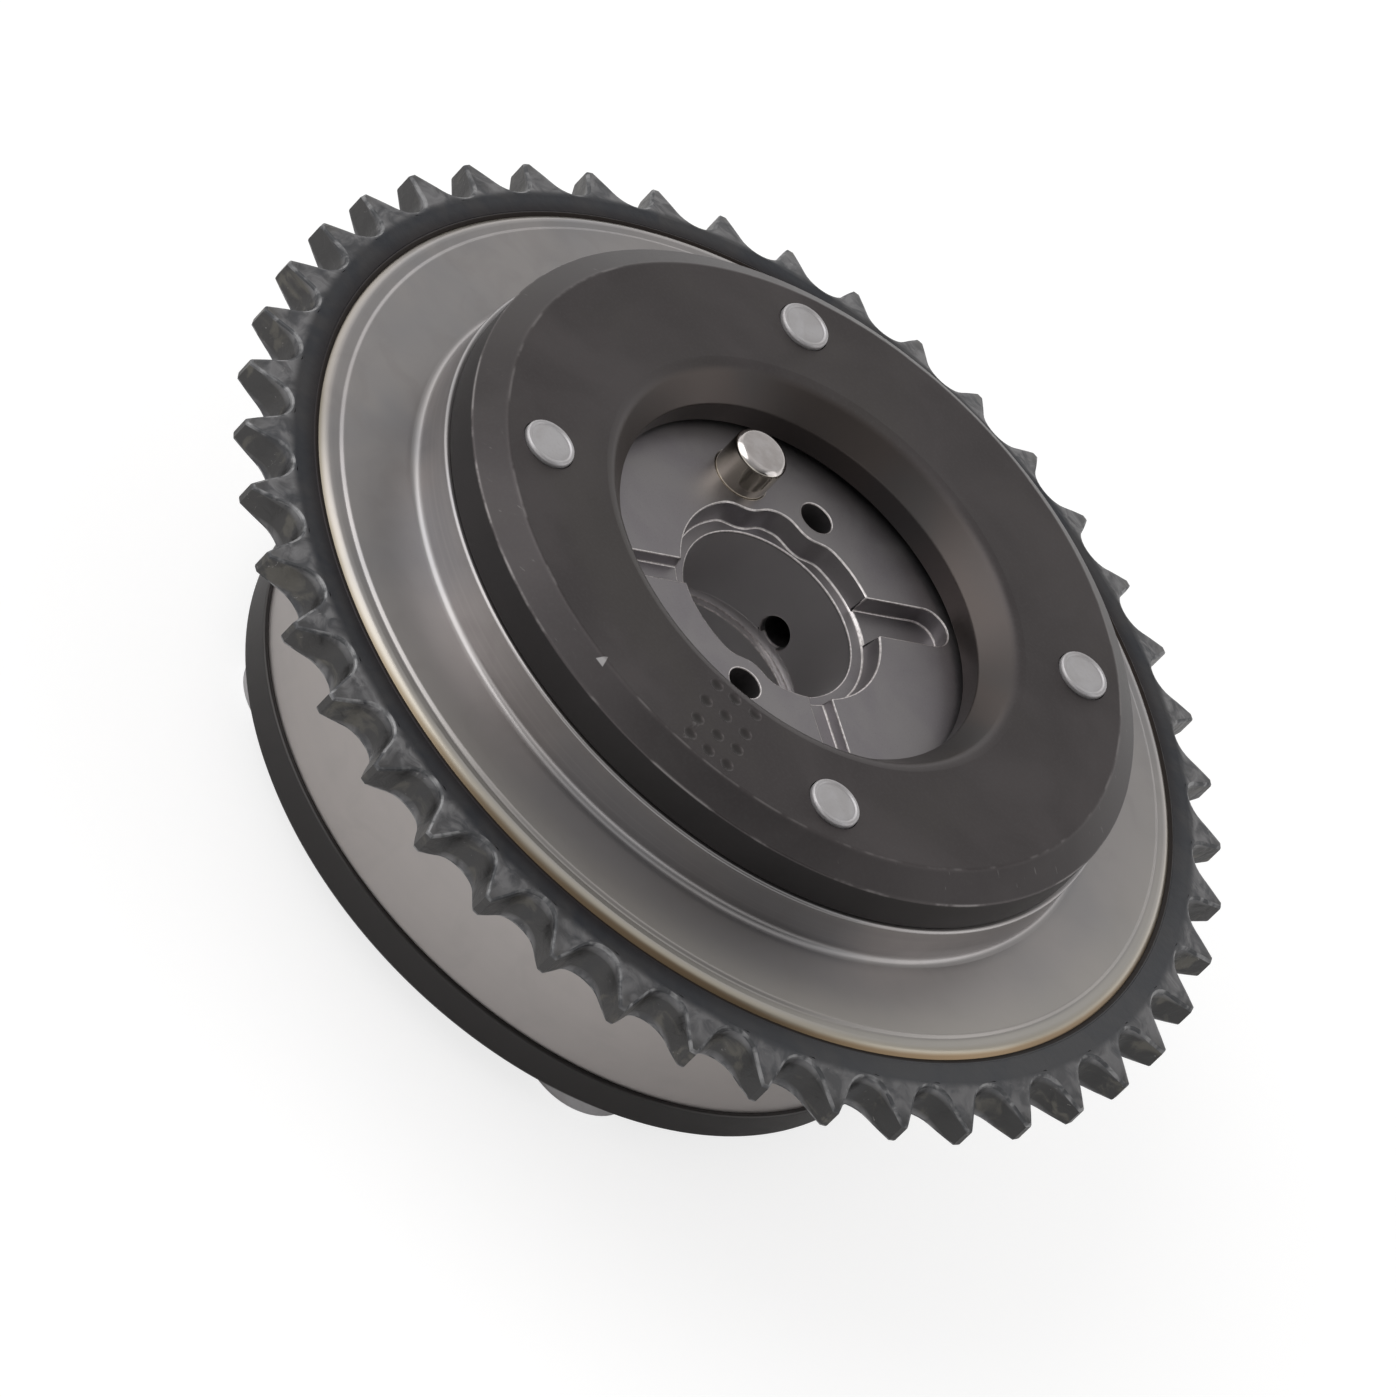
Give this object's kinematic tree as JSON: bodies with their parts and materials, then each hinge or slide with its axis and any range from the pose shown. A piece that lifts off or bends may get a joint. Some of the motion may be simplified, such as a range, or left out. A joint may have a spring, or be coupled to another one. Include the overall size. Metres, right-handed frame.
{
  "type": "cam phaser",
  "caption": "Round camshaft adjuster: toothed chain ring on a flanged drum, dark cover plates held by through rivets, and a vaned rotor with a through bore and a locating dowel.",
  "frame": {"origin": "on the shaft axis, in the plane of the rear rivet heads that the phaser stands on", "axes": "+Z along the shaft axis to the camshaft side; a through rivet lies 45 degrees from +X towards +Y"},
  "size_m": [0.1156, 0.1156, 0.0452],
  "materials": {
    "sprocket_steel": "dark hardened steel, slightly rough",
    "turned_steel": "bright turned steel, satin",
    "blackened_steel": "blackened, satin",
    "rivet_steel": "light grey, matt",
    "rotor_steel": "sintered and ground, satin",
    "ground_steel": "ground and polished",
    "seal_polymer": "matt dark polymer",
    "spring_steel": "spring steel"
  },
  "bodies": {
    "stator": {"sprocket_ring": "sprocket_steel", "stator_housing": "turned_steel", "camshaft_side_cover": "blackened_steel", "rear_cover": "blackened_steel", "rivet_1": "rivet_steel", "rivet_2": "rivet_steel", "rivet_3": "rivet_steel", "rivet_4": "rivet_steel", "lock_bush": "ground_steel", "web_seal_1": "seal_polymer", "web_seal_2": "seal_polymer", "web_seal_3": "seal_polymer", "web_seal_4": "seal_polymer", "web_seal_spring_1": "spring_steel", "web_seal_spring_2": "spring_steel", "web_seal_spring_3": "spring_steel", "web_seal_spring_4": "spring_steel"},
    "rotor": {"rotor": "rotor_steel", "dowel_pin": "ground_steel", "vane_seal_1": "seal_polymer", "vane_seal_2": "seal_polymer", "vane_seal_3": "seal_polymer", "vane_seal_4": "seal_polymer", "vane_seal_spring_1": "spring_steel", "vane_seal_spring_2": "spring_steel", "vane_seal_spring_3": "spring_steel", "vane_seal_spring_4": "spring_steel", "lock_spring_seat": "rivet_steel", "lock_spring": "spring_steel"},
    "lock_pin": {"lock_pin": "ground_steel"}
  },
  "joints": [
    {"name": "rotor_turn", "type": "hinge", "parent": "stator", "child": "rotor", "pos_m": [0, 0, 0.02], "axis": [0, 0, 1], "range_deg": [0, 28]},
    {"name": "lock_pin_slide", "type": "slide", "parent": "rotor", "child": "lock_pin", "axis": [0, 0, 1], "range_m": [0, 0.003], "stiffness_N_per_m": 800, "springref_m": -0.004, "deforming": ["lock_spring"]}
  ]
}
